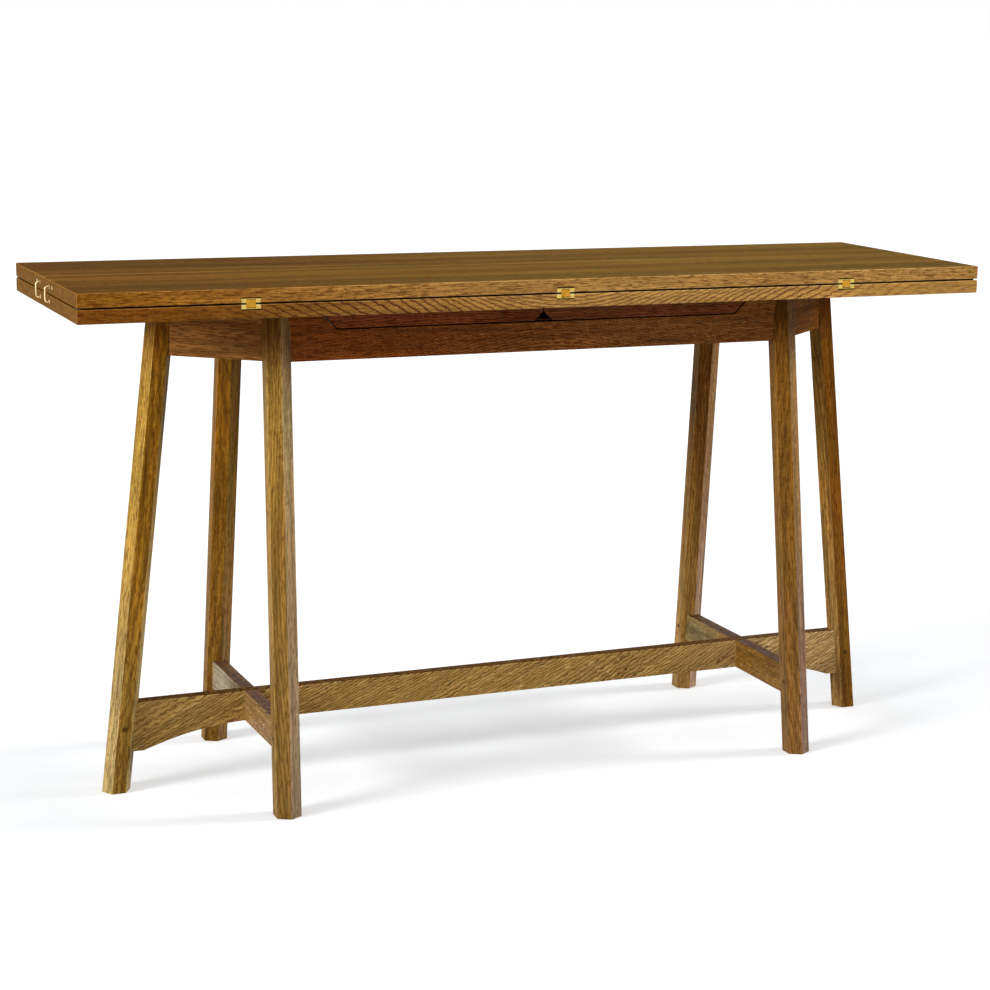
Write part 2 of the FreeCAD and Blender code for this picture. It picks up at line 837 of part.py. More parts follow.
# End clips: a brass wire bent to a C turns in a bush in the end of the upper leaf.
# Down, its rounded tip stands at a dimpled button in the lower leaf; swung up by a
# quarter turn it stands at a second button beside the bush.
CLIP_Z = f"({UPPER_UNDER} + Sizes.leaf_thickness / 2)"
CATCH_Z = f"({CLIP_Z} - Sizes.clip_drop)"
WIRE = "Sizes.clip_wire"
BEND = "Sizes.clip_bend"
STAND = "Sizes.clip_stand"
SHANK = "(Sizes.bush_length + Sizes.clip_end_play)"


def bend(name, out, down, x, y, z):
    """A quarter ring of wire between the outward direction and straight up or down."""
    piece = doc.addObject("Part::Torus", name)
    vertical = -Z if down else Z
    piece.Placement.Rotation = FreeCAD.Rotation(out, vertical, out.cross(vertical), "XYZ")
    piece.Angle3 = 90
    bind(piece, Radius1=BEND, Radius2=WIRE)
    return place(piece, x, y, z)


def clip_of(name, side, y):
    out = X * side

    def at(distance):
        return f"{side} * ({HALF_LENGTH} + {distance})"

    pivot = rod(name + "_shank", WIRE, f"{STAND} - {BEND} + {SHANK}", out,
                at(f"-{SHANK}"), y, CLIP_Z)
    rivet = rod(name + "_rivet", "Sizes.rivet_radius", "Sizes.rivet_length", -out,
                at(f"-{SHANK}"), y, CLIP_Z)
    top = bend(name + "_top", out, False, at(f"{STAND} - {BEND}"), y, f"{CLIP_Z} - {BEND}")
    bar = rod(name + "_bar", WIRE, f"Sizes.clip_drop - 2 * {BEND}", -Z,
              at(STAND), y, f"{CLIP_Z} - {BEND}")
    foot = bend(name + "_foot", out, True, at(f"{STAND} - {BEND}"), y,
                f"{CATCH_Z} + {BEND}")
    tip = rod(name + "_tip", WIRE, f"{STAND} - {BEND} - Sizes.tip_gap - {WIRE}", -out,
              at(f"{STAND} - {BEND}"), y, CATCH_Z)
    ball = doc.addObject("Part::Sphere", name + "_ball")
    bind(ball, Radius=WIRE)
    place(ball, at(f"Sizes.tip_gap + {WIRE}"), y, CATCH_Z)
    return fuse(name, pivot, rivet, top, bar, foot, tip, ball)


def button_of(name, side, y, z):
    """A round brass button level with the leaf's end, with a shallow dimple."""
    body = rod(name + "_body", "Sizes.bush_radius", "Sizes.button_length", X * -side,
               f"{side} * {HALF_LENGTH}", y, z)
    dimple = doc.addObject("Part::Sphere", name + "_dimple")
    bind(dimple, Radius="Sizes.dimple_radius")
    place(dimple, f"{side} * ({HALF_LENGTH} + Sizes.dimple_radius - Sizes.dimple_depth)",
          y, z)
    return body, cut(name, body, dimple)


end_holes = {-1: [], 1: []}
for side, word in ((-1, "left"), (1, "right")):
    bushes, rests, catches = [], [], []
    for toward, place_word in ((-1, "front"), (1, "rear")):
        key = f"{word}_{place_word}"
        y = f"{toward} * Sizes.clip_apart / 2"
        rest_y = f"{toward} * (Sizes.clip_apart / 2 + Sizes.clip_drop)"
        node(f"{key}_clip", clip_of(f"{key}_clip", side, y))
        sleeve = rod(f"{key}_sleeve", "Sizes.bush_radius", "Sizes.bush_length", X * -side,
                     f"{side} * {HALF_LENGTH}", y, CLIP_Z)
        bore = rod(f"{key}_sleeve_bore", f"{WIRE} + Sizes.running_clearance",
                   "Sizes.bush_length + 2", X * -side,
                   f"{side} * ({HALF_LENGTH} + 1)", y, CLIP_Z)
        bushes.append(cut(f"{key}_bush", sleeve, bore))
        # The bush hole runs on behind the bush, where the wire's riveted end turns.
        end_holes[1].append(
            rod(f"{key}_bush_hole", "Sizes.bush_radius",
                f"{SHANK} + 2 * Sizes.rivet_length", X * -side,
                f"{side} * {HALF_LENGTH}", y, CLIP_Z)
        )
        rest_body, rest = button_of(f"{key}_rest", side, rest_y, CLIP_Z)
        catch_body, catch = button_of(f"{key}_catch", side, y, CATCH_Z)
        rests.append(rest)
        catches.append(catch)
        end_holes[1].append(rest_body)
        end_holes[-1].append(catch_body)
    node(f"{word}_clip_bushes", *bushes)
    node(f"{word}_rest_buttons", *rests)
    node(f"{word}_catch_buttons", *catches)

# Leaves: four oak boards each, glued edge to edge, with every outer edge eased.
BOARDS = ("front", "second", "third", "back")
STARTS = {
    "front": FRONT,
    "second": f"({FRONT} + Sizes.front_board)",
    "third": f"({FRONT} + Sizes.front_board + Sizes.second_board)",
    "back": f"({FRONT} + Sizes.front_board + Sizes.second_board + Sizes.third_board)",
}
ENDS = {"front": "second", "second": "third", "third": "back"}


def every_edge(edge):
    return True


for level, bottom, up in (("lower", UNDER_TOP, -1), ("upper", UPPER_UNDER, 1)):
    leaf = eased(f"{level}_leaf", "Box", "Sizes.leaf_arris", every_edge,
                 Length="Sizes.top_length", Width="Sizes.top_depth",
                 Height="Sizes.leaf_thickness")
    place(leaf, f"-{HALF_LENGTH}", FRONT, bottom)
    for board in BOARDS:
        end = STARTS[ENDS[board]] if board in ENDS else f"(-{FRONT})"
        strip = box(
            f"{level}_{board}_strip",
            f"-{HALF_LENGTH}",
            STARTS[board],
            bottom,
            "Sizes.top_length",
            f"{end} - {STARTS[board]}",
            "Sizes.leaf_thickness",
        )
        blank = common(f"{level}_{board}_blank", leaf, strip)
        tools = end_holes[up] + pockets[up]
        if up < 0:
            tools = tools + support_pins + block_holes
        name = f"{level}_{board}_board"
        node(name, cut(name, blank, *tools))

# Felt pads on the fixed leaf keep the closed leaves apart. The front ones stay clear of
# the upper leaf's edge, which dips as it turns on the hinges.
pads = [
    rod(f"pad_{i}_{row}", "Sizes.pad_radius", "Sizes.pad_thickness", Z,
        f"{i} * ({HALF_LENGTH} - Sizes.pad_inset)", y, LOWER_TOP)
    for i in (-1, 1)
    for row, y in (
        ("front", f"{FRONT} + Sizes.pad_inset_front"),
        ("back", "Sizes.top_depth / 2 - Sizes.pad_inset"),
    )
]
node("gap_pads", *pads)

doc.recompute()
failed = [thing.Name for thing in doc.Objects if {"Invalid", "Error"} & set(thing.State)]
if failed:
    raise RuntimeError(f"objects that did not compute: {failed}")
for piece in nodes:
    if piece.Shape.isNull() or not piece.Shape.isValid() or not piece.Shape.Solids:
        raise RuntimeError(f"{piece.Label} has no valid solid")
os.makedirs("parts", exist_ok=True)
for piece in nodes:
    piece.Shape.exportStep(f"parts/{piece.Label}.step")
    print(piece.Label, len(piece.Shape.Solids), round(piece.Shape.Volume))
print(len(nodes), "nodes")
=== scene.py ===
import math

import bpy
from mathutils import Matrix, Vector


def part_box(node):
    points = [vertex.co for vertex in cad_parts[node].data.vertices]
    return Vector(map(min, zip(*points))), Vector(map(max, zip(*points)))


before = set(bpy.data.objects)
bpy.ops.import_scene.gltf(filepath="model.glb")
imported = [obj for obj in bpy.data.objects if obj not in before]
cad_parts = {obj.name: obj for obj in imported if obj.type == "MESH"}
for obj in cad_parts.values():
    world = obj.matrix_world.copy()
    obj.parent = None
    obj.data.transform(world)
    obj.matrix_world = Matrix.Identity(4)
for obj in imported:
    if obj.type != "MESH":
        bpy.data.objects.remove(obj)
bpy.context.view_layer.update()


# ---- Camera: the whole table from its left front corner, from just above the top ----
# A lens of 83 mm, about three and a half metres from the table's middle. It is turned to
# the right by its heading, dipped below the horizon and tilted about its own line of sight.

eye = (-1.33824, -3.19135, 1.11350)
heading, dip, tilt = 0.42059, 0.20217, 0.0175
lens_in_pixels, picture_width, sensor_width = 2281.1, 990, 36
sideways_shift = -0.0657
ahead = Vector((math.sin(heading), math.cos(heading), 0))
side = Vector((math.cos(heading), -math.sin(heading), 0))
forward = ahead * math.cos(dip) - Vector((0, 0, 1)) * math.sin(dip)
upward = Vector((0, 0, 1)) * math.cos(dip) + ahead * math.sin(dip)
right = side * math.cos(tilt) + upward * math.sin(tilt)
upright = upward * math.cos(tilt) - side * math.sin(tilt)
camera = bpy.data.objects.new("camera", bpy.data.cameras.new("camera"))
bpy.context.scene.collection.objects.link(camera)
camera.matrix_world = Matrix(
    [(right[i], upright[i], -forward[i], eye[i]) for i in range(3)] + [(0, 0, 0, 1)]
)
camera.data.lens = lens_in_pixels * sensor_width / picture_width
camera.data.shift_x = sideways_shift
bpy.context.scene.camera = camera
bpy.context.scene.view_settings.view_transform = "Standard"


# ---- Legs: six hexagonal bars of quarter-sawn oak, splayed out to the floor ----
# Each is sawn from its own plank, so ring lines, open pores and pale ray flecks run
# through the whole bar and meet at its corners. The finish is a thin coat of oil. Shade
# from the top is painted on, darker beside the rails, and the colour changes towards the
# foot, more on some than others. A side leg's facet looking right and forward has a painted
# sheen.


class Wire:
    """A shader socket that can be written in sums."""

    def __init__(self, tree, socket):
        self.tree, self.socket = tree, socket

    def node(self, kind, settings=(), out=0, **inputs):
        """Any node, by its type, its settings and its inputs' names, or _ and a number."""
        made = self.tree.nodes.new(kind)
        for name, value in dict(settings).items():
            setattr(made, name, value)
        for name, value in inputs.items():
            key = int(name[1:]) if name[0] == "_" else name.replace("_", " ")
            plug(self.tree, made.inputs[key], value)
        return Wire(self.tree, made.outputs[out])

    def math(self, operation, *values):
        made = self.tree.nodes.new("ShaderNodeMath")
        made.operation = operation
        for socket, value in zip(made.inputs, values):
            plug(self.tree, socket, value)
        return Wire(self.tree, made.outputs[0])

    def __add__(self, other):
        return self.math("ADD", self, other)

    def __sub__(self, other):
        return self.math("SUBTRACT", self, other)

    def __rsub__(self, other):
        return self.math("SUBTRACT", other, self)

    def __mul__(self, other):
        return self.math("MULTIPLY", self, other)

    def __truediv__(self, other):
        return self.math("DIVIDE", self, other)

    def __abs__(self):
        return self.math("ABSOLUTE", self)

    __radd__, __rmul__ = __add__, __mul__

    def between(self, low, high):
        """0 below low, 1 above high, smooth in the middle."""
        return self.node("ShaderNodeMapRange", {"interpolation_type": "SMOOTHSTEP"},
                         Value=self, From_Min=low, From_Max=high)

    def vector(self, operation, other, out=0):
        return self.node("ShaderNodeVectorMath", {"operation": operation}, out,
                         _0=self, _1=other)

    def scaled(self, factor):
        return self.node("ShaderNodeVectorMath", {"operation": "SCALE"}, _0=self, Scale=factor)

    def axis(self, which):
        return self.node("ShaderNodeSeparateXYZ", (), which, Vector=self)

    def grown(self, stretch, detail=1.0, out=0):
        """Noise with this many lumps to the metre along each axis."""
        return self.node("ShaderNodeTexNoise", (), out, Scale=1, Detail=detail,
                         Vector=self.vector("MULTIPLY", stretch))

    def paint(self, colour):
        """A plain colour to start a finish from."""
        made = self.node("ShaderNodeRGB")
        made.socket.default_value = (*colour, 1)
        return made

    def tinted(self, colour, amount):
        """This colour, turned into another by an amount."""
        return self.node("ShaderNodeMix", {"data_type": "RGBA"}, 2,
                         _0=amount, _6=self, _7=colour)


def plug(tree, socket, value):
    if isinstance(value, Wire):
        tree.links.new(value.socket, socket)
    elif socket.type == "RGBA" and len(value) == 3:
        socket.default_value = (*value, 1)
    else:
        socket.default_value = value


def finish_of(name):
    """A new material, its surface shader, and a wire with the place on the object."""
    material = bpy.data.materials.new(name)
    material.use_nodes = True
    tree = material.node_tree
    shader = tree.nodes["Principled BSDF"]
    place = tree.nodes.new("ShaderNodeTexCoord")
    return material, shader, Wire(tree, place.outputs["Object"])


def dress(material, *nodes):
    for name in nodes:
        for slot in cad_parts[name].material_slots:
            slot.material = material


def lie(along, face):
    """The turn of a piece whose grain runs along one way and whose face looks another."""
    along = Vector(along).normalized()
    across = Vector(face).cross(along).normalized()
    return Matrix((along, across, along.cross(across))).transposed().to_euler()


REDDER = (1.05, 0.8, 0.55)
# A board's broad faces grow paler towards its right end by this much.
PALER_TO_THE_RIGHT = (1.25, 1.56, 1.9)
PALE_RAY = (1.45, 1.6, 1.9)
# A pale line along a board joint.
PALE_SEAM_LINE = (1.8, 1.9, 2.1)
# The colour change of the highlight painted on rounded arrises.
PAINTED_ARRIS_HIGHLIGHT = (1.7, 1.9, 2.6)


def oak(node, turn, seed, wood, *, rings=0.003, pith=(0.07, 0.12), bow=(0, 0, 1),
        line=(0.36, 0.28, 0.24), lines=0.5, sharp=0.4, wave=0.0008, wander=0.005,
        plain=None, rays=0.3, ray_turn=1.2, ray_size=(60, 300), dashes=0.3,
        dash_size=(60, 520), tone=0.5, patches=0.3, fades=(), faces=(), top=None,
        ends=None, seam=None, flats=((1, 0, 0), (0, 1, 0), (0, 0, 1)),
        arris_highlight=(0.04, 0.2, 0), gloss=0.08):
    """Oiled oak. Sizes are in metres, and those of flecks and dashes in lumps to the metre.

    turn, seed     how the grain lies in the piece, and where in the log it was cut
    wood           the plank's colour before its figure is laid over it
    rings, sharp   the growth of a year, and the dark part of it
    pith, bow      the heart's place beside the grain, and how far the lines lift across
                   and through the piece over a distance, where a plank is sawn on a bend
    line, lines    how dark the rings are, and how much of them shows
    wave, wander   the small and the wide swerves of the grain
    plain          the stretch from the middle where the lines die away
    rays           pale flecks across the grain, turned by ray_turn, each of a ray_size
    dashes         dark open pores along the grain, each of a dash_size
    tone, patches  streaks along the grain, and redder patches
    fades          (axis, start, end, colour change) along the piece
    faces          (direction, start, colour change) of a face that is darker or paler
    top, ends      the colour of a board's broad faces, and of its end grain
    seam           a pale line at a board joint: where it is across, and the stretch where it fades
    flats, arris_highlight  the ways the flat faces look, and the painted highlight on the arrises
    between them
    gloss          how much the oil shines
    """
    low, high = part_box(node)
    middle = [(a + b) / 2 for a, b in zip(low, high)]
    material, shader, place = finish_of(node + "_oak")

    # The plank: its growth rings about the heart, its pores, streaks and rays.
    plank = place.node("ShaderNodeMapping", {"vector_type": "TEXTURE"},
                       Vector=place, Location=middle, Rotation=turn)
    log = plank.vector("ADD", (seed * 3.7, seed * 1.9, seed * 5.3))
    x, y, z = (plank.axis(i) for i in range(3))
    drift = log.grown((2.4, 13, 13), out=1)
    ripple = log.grown((110, 130, 130), out=1)
    swell = x * x / (x * x + bow[2] ** 2)
    heart = place.node("ShaderNodeCombineXYZ", _1=y + swell * bow[0] - pith[0],
                       _2=z + swell * bow[1] - pith[1])
    heart = heart.vector("ADD", drift.vector("MULTIPLY", (0, wander * 3, wander * 3)))
    heart = heart.vector("ADD", ripple.vector("MULTIPLY", (0, wave * 3, wave * 3)))
    years = heart.node("ShaderNodeVectorMath", {"operation": "LENGTH"}, 1, _0=heart) / rings
    year = years.math("FRACT", years)
    early = (1 - year.between(0.03, sharp)) + year.between(1 - sharp / 3, 1.0)
    fibre = log.grown((22, 620, 620), 2.0)
    pore = log.grown((70, 900, 900)).between(0.54, 0.66) * (early * 0.7 + 0.3)
    dash = log.grown((dash_size[0], dash_size[1], dash_size[1])).between(0.53, 0.6)
    streak = log.grown((6, 140, 140), 3.0)
    patch = log.grown((7, 34, 34), 2.0)
    turned = log.vector("ADD", ripple.vector("MULTIPLY", (0.006, 0.006, 0)))
    turned = turned.node("ShaderNodeMapping", Vector=turned, Rotation=(0, 0, ray_turn))
    fleck = turned.grown((ray_size[0], ray_size[1], 90)).between(0.52, 0.63)
    fleck = fleck * drift.axis(0).between(0.38, 0.58)

    # The wood's own colour, and how it changes along the piece and from face to face.
    facing = Wire(place.tree, place.socket.node.outputs["Normal"])
    colour = place.paint(wood)
    for axis, start, end, change in fades:
        faded = colour.vector("MULTIPLY", change)
        colour = colour.tinted(faded, place.axis(axis).between(start, end))
    for direction, start, change in faces:
        square_on = facing.vector("DOT_PRODUCT", direction, 1).between(start, start + 0.07)
        colour = colour.tinted(colour.vector("MULTIPLY", change), square_on)
    strength = early * lines * (drift.axis(1) * 1.4 + 0.3)
    if plain:
        strength = strength * (1 - abs(place.axis(0)).between(*plain) * 0.8)
    shown = fleck * rays
    dark_dash = dash * dashes
    if top:
        flat = abs(facing.axis(2)).between(0.5, 0.95)
        broad_face = place.paint(top)
        broad_face = broad_face.tinted(broad_face.vector("MULTIPLY", PALER_TO_THE_RIGHT), place.axis(0).between(-0.75, 0.4))
        colour = colour.tinted(broad_face, flat)
        band = log.grown((0.9, 21, 21), 4.0) - 0.5
        colour = colour.scaled(band * flat * 1.6 + 1)
        strength = strength * (1 - flat * 0.65 * lines)
        dark_dash = dark_dash * (1 - flat * 0.4)
        shown = shown * (1 - flat * 0.3)
    if ends:
        cross = abs(facing.axis(0)).between(0.5, 0.95)
        colour = colour.tinted(ends, cross)
        strength = strength * (1 - cross * 0.5)

    # The figure is laid over it: rings, patches, streaks, pores and pale rays.
    dark = colour.vector("MULTIPLY", line)
    colour = colour.tinted(dark, strength * (fibre * 0.9 + 0.55))
    colour = colour.tinted(colour.vector("MULTIPLY", REDDER), patch.between(0.4, 0.62) * patches)
    colour = colour.scaled((streak - 0.5) * tone * 2 + (patch - 0.5) * patches * 1.6
                           + fibre * 0.8 + 0.66)
    colour = colour.tinted(dark, pore * 0.7)
    colour = colour.tinted(dark, dark_dash)
    colour = colour.tinted(colour.vector("MULTIPLY", PALE_RAY), shown)
    if seam:
        off = abs(place.axis(1) - seam[0])
        mark = (1 - off.between(0.004, 0.009)) * facing.axis(2).between(0.5, 0.95)
        mark = mark * (1 - place.axis(0).between(*seam[1:]))
        colour = colour.tinted(colour.vector("MULTIPLY", PALE_SEAM_LINE), mark)

    # Where no flat face is square to the surface, on the rounded arrises, a highlight is painted.
    square = abs(facing.vector("DOT_PRODUCT", flats[0], 1))
    for direction in flats[1:]:
        square = square.math("MAXIMUM", square,
                             abs(facing.vector("DOT_PRODUCT", direction, 1)))
    painted_highlight = (1 - square).between(*arris_highlight[:2]) * arris_highlight[2]
    colour = colour.tinted(colour.vector("MULTIPLY", PAINTED_ARRIS_HIGHLIGHT), painted_highlight)
    plug(place.tree, shader.inputs["Base Color"], colour)
    plug(place.tree, shader.inputs["Roughness"], 0.5 + pore * 0.25 - shown * 0.12)
    shader.inputs["Specular IOR Level"].default_value = gloss
    height = 1 - pore * 0.8 - early * 0.25 - dark_dash * 0.4
    bump = place.node("ShaderNodeBump", Height=height, Strength=0.4, Distance=0.0003)
    plug(place.tree, shader.inputs["Normal"], bump)
    dress(material, node)
    return shader, place, colour


LEG_OAK = (0.4, 0.215, 0.05)
# Painted shade from the top: each leg is darker near its top, beside the rails.
PAINTED_SHADE_UNDER_THE_TOP = (2, 0.61, 0.69, (0.7, 0.55, 0.45))
SIDE_LEG_FLATS = ((1, 0, 0), (0.5, 0.866, 0), (0.5, -0.866, 0))
# The facet looking right and forward is painted paler and bluer, a painted sheen; the facet
# looking left is a little bluer.
SIDE_LEG_FACES_AND_SHEEN = [((0.5, -0.866, 0), 0.9, (1.4, 1.75, 4.5)),
                  ((-1, 0, 0), 0.9, (0.95, 1.05, 1.3))]
END_LEG_FLATS = ((0, 1, 0), (0.866, 0.5, 0), (0.866, -0.5, 0))
END_LEG_FACES = [((0, -1, 0), 0.9, (0.95, 0.72, 0.3))]
lean, rake = math.tan(math.radians(6.4)), math.tan(math.radians(1))
for name, side_x, side_y, seed, shade, foot, figure in (
        ("left_end", -1, 0, 1, (1.05, 1.15, 0.8), (0.95, 1.22, 3.0),
         dict(pith=(0.02, 0.16), dashes=0.7)),
        ("left_front", -1, -1, 2, (0.84, 0.85, 0.62), (0.72, 0.72, 0.95),
         dict(pith=(0.2, 0.05), dashes=0.6)),
        ("left_rear", -1, 1, 3, (0.58, 0.46, 0.12), (0.85, 0.95, 2.2),
         dict(pith=(0.1, 0.12), dashes=0.6)),
        ("right_end", 1, 0, 4, (0.75, 0.7, 0.52), (0.93, 1.08, 1.9),
         dict(pith=(0.12, 0.08), dashes=0.6)),
        ("right_front", 1, -1, 5, (0.54, 0.44, 0.2), (0.95, 1.05, 2.6),
         dict(pith=(0.17, 0.1), dashes=0.6)),
        ("right_rear", 1, 1, 6, (0.62, 0.5, 0.3), (1.5, 1.9, 3.5),
         dict(pith=(0.06, 0.15), dashes=0.6))):
    if side_y:
        slope, flats, faces = (-side_x * rake, -side_y * lean, 1), SIDE_LEG_FLATS, SIDE_LEG_FACES_AND_SHEEN
    else:
        slope, flats, faces = (-side_x * lean, 0, 1), END_LEG_FLATS, END_LEG_FACES
    oak(name + "_leg", lie(slope, (0.3, -1, 0)), seed,
        tuple(a * b for a, b in zip(LEG_OAK, shade)), rings=0.0026, bow=(0.03, 0.02, 0.5),
        wave=0.0005, wander=0.004, rays=0.35, ray_turn=0.9 + 0.1 * seed, ray_size=(80, 330),
        tone=1.1, faces=faces, flats=flats, arris_highlight=(0.015, 0.05, 0.8),
        fades=[(2, 0.5, 0.02, foot), PAINTED_SHADE_UNDER_THE_TOP], gloss=0.05, **figure)


# ---- Rails under the top: front, rear and four at the corners, on edge ----
# Plainer oak from darker planks, oiled. The front one has a long shallow notch sawn in its
# top edge, in deep shade between the legs. Their tongues go into the legs.

RAIL_OAK = (0.312, 0.088, 0.0165)
# The corner rails are one oak; the right pair is painted darker, as shade.
LEFT_CORNER_OAK, RIGHT_CORNER_SHADED_OAK = (0.272, 0.107, 0.0225), (0.185, 0.063, 0.0076)
# Every face of the front rail that looks up, the notch floor with it, is painted nearly black as
# shade.
SHADED_NOTCH = ((0, 0, 1), 0.5, (0.05, 0.05, 0.08))
oak("front_rail", lie((1, 0, 0), (0, -1, 0)), 11, RAIL_OAK, rings=0.0027,
    pith=(-0.05, 0.08), bow=(0.1, 0, 0.25), lines=1.0, wave=0.0012, rays=0.5,
    dashes=0.7, tone=1.0, faces=[SHADED_NOTCH], arris_highlight=(0.04, 0.2, 0.1),
    fades=[(0, -0.3, 0.15, (1.03, 1.4, 1.85))], gloss=0.01)
oak("rear_rail", lie((1, 0, 0), (0, 1, 0)), 12, (0.2, 0.073, 0.016),
    pith=(0.09, 0.05), bow=(0.06, 0, 0.4))
slant_x, slant_y = 0.78, 0.62
for name, seed, side_x, side_y, wood in (
        ("left_front", 13, -1, -1, LEFT_CORNER_OAK), ("left_rear", 14, -1, 1, LEFT_CORNER_OAK),
        ("right_front", 15, 1, -1, RIGHT_CORNER_SHADED_OAK), ("right_rear", 16, 1, 1, RIGHT_CORNER_SHADED_OAK)):
    oak(name + "_corner_rail",
        lie((side_x * slant_x, -side_y * slant_y, 0), (side_x * slant_y, side_y * slant_x, 0)),
        seed, wood, rings=0.0026, pith=(0.08, 0.03), wave=0.0013, rays=0.6,
        ray_size=(70, 280), dashes=0.7, tone=1.0, arris_highlight=(0.04, 0.2, 0.4), gloss=0.01)


# ---- Stretchers near the floor: one long one with arched ends, two across ----
# The best quarter-sawn oak of the table, with bold figure and darker tops.
# The three are halved into each other where they cross, and each end is tongued into a leg.

LONG_OAK = (0.49, 0.297, 0.083)
LONG_DARK_TOP = ((0, 0, 1), 0.8, (0.3, 0.23, 0.2))
CROSS_DARK_TOP = ((0, 0, 1), 0.8, (0.5, 0.32, 0.22))
oak("long_stretcher", lie((1, 0, 0.5), (0, -1, 0)), 21, LONG_OAK, rings=0.0052,
    pith=(-0.13, 0.03), wander=0.018, line=(0.28, 0.2, 0.2), lines=0.75, sharp=0.42,
    wave=0.0026, dash_size=(140, 650), rays=0.75, ray_turn=0.25, ray_size=(45, 210),
    patches=0.2, arris_highlight=(0.04, 0.2, 0.4), gloss=0.003,
    fades=[(0, 0.2, 0.6, (1.45, 1.6, 2.3))], faces=[LONG_DARK_TOP])
for name, seed, wood in (("left", 22, (0.26, 0.15, 0.05)), ("right", 23, (0.185, 0.092, 0.016))):
    # Towards the rear the cross stretchers are painted paler and bluer, a painted sheen.
    oak(name + "_cross_stretcher", lie((0, 1, 0), (-1, 0, 0)), seed, wood,
        rings=0.0034, pith=(0.1, 0.02), bow=(0.1, 0, 0.3), lines=0.6, wave=0.0016, rays=0.6,
        ray_turn=-0.7, ray_size=(60, 220), dashes=0.6, tone=0.9, arris_highlight=(0.04, 0.2, 0.4),
        fades=[(1, -0.02, 0.12, (1.2, 1.7, 3.2))], faces=[CROSS_DARK_TOP])


# ---- Pegs: one through each leg into the tongue of its stretcher ----
# Turned from dark oak and driven in, so what shows of each is its speckled end grain.
# They are cut off just proud of the leg.

material, shader, place = finish_of("peg_oak")
speck = place.grown((700, 700, 700), 2.0)
peg_end = place.paint((0.12, 0.055, 0.016))
plug(place.tree, shader.inputs["Base Color"],
     peg_end.tinted((0.04, 0.017, 0.006), speck.between(0.45, 0.6)))
plug(place.tree, shader.inputs["Roughness"], speck * 0.3 + 0.4)
shader.inputs["Specular IOR Level"].default_value = 0.05
dress(material, "stretcher_pegs")


# ---- Swing supports: two bars that lie in the front rail's notch and turn out ----
# Cut from the same dark planks as the rail, they carry the upper leaf when it is open.
# Where the two meet, a finger recess is cut into both, and its inside is painted nearly black as
# shade.

SUPPORT_OAK, PAINTED_RECESS_SHADE = (0.307, 0.079, 0.0265), (0.004, 0.002, 0.001)
recess_half_width, recess_front, recess_back, recess_top = 0.016, -0.128, -0.112, 0.7047
blur = 0.0005
for seed, name in enumerate(("left", "right"), 31):
    shader, place, colour = oak(
        name + "_support", lie((1, 0, 0), (0, -1, 0)), seed, SUPPORT_OAK,
        rings=0.0025, pith=(0.06, 0.08), bow=(0.05, 0, 0.3), lines=0.8, rays=0.5,
        dashes=0.7, tone=1.0, arris_highlight=(0.04, 0.2, 0.1),
        fades=[(0, -0.2, 0.2, (0.9, 1.1, 1.25))], gloss=0.01)
    across, inwards, above = (place.axis(i) for i in range(3))
    # The inside of the finger recess is painted nearly black, as shade.
    recess = 1 - abs(across).between(recess_half_width - blur, recess_half_width + blur)
    recess = recess * inwards.between(recess_front, recess_front + blur)
    recess = recess * (1 - inwards.between(recess_back - blur, recess_back))
    recess = recess * (1 - above.between(recess_top - blur, recess_top))
    plug(place.tree, shader.inputs["Base Color"], colour.tinted(PAINTED_RECESS_SHADE, recess))


# ---- Support pins, block screws and washers ----
# The pins and screws are turned mild steel, bright, with fine turning marks. The washers
# that the supports lie on are stamped from dark pressed fibre.

material, shader, place = finish_of("turned_steel")
mark = place.grown((900, 900, 3500), 2.0)
shader.inputs["Metallic"].default_value = 1
steel = place.paint((0.34, 0.335, 0.32))
plug(place.tree, shader.inputs["Base Color"], steel.scaled(mark * 0.5 + 0.75))
plug(place.tree, shader.inputs["Roughness"], mark * 0.3 + 0.25)
dress(material, "left_support_pin", "right_support_pin", "fixing_screws")

material, shader, place = finish_of("washer_fibre")
grit = place.grown((1500, 1500, 400), 2.0)
fibre = place.paint((0.016, 0.01, 0.007))
plug(place.tree, shader.inputs["Base Color"], fibre.scaled(grit + 0.5))
plug(place.tree, shader.inputs["Roughness"], grit * 0.3 + 0.55)
dress(material, "support_washers")


# ---- Fixing blocks: five small blocks screwed up into the fixed leaf ----
# Offcuts of the rail's oak. A lip on each is in a groove of its rail, and one screw
# goes up through the block.

oak("fixing_blocks", lie((1, 0, 0), (0, 0, -1)), 41, RAIL_OAK, pith=(0.05, 0.05), rays=0.15)


# ---- The two leaves: four boards glued edge to edge in each, lying on each other ----
# Rift-sawn oak; the lower front board shows broad cathedral lines on its edge. The faces
# are darker and greener than the edges, and the end grain drinks the oil and goes dark.


def shaded(colour, factor):
    return tuple(part * factor for part in colour)


LEAF_FACE, LEAF_END = (0.168, 0.073, 0.01), (0.19, 0.09, 0.022)
MIDDLE_SEAM = (0.0155, 0.1, 0.6)
STRAIGHT_LINES = dict(rings=0.0034, pith=(0.14, 0.1), bow=(0.02, 0.06, 0.5), lines=0.3,
                      wave=0.0014, dashes=0.8)
CATHEDRAL_LINES = dict(rings=0.0085, pith=(0.02, -0.45), bow=(0, -0.34, 0.38), lines=1.0,
                       line=(0.3, 0.2, 0.36), sharp=0.35, wave=0.002, wander=0.026,
                       plain=(0.4, 0.54), tone=0.4, dashes=0.5)
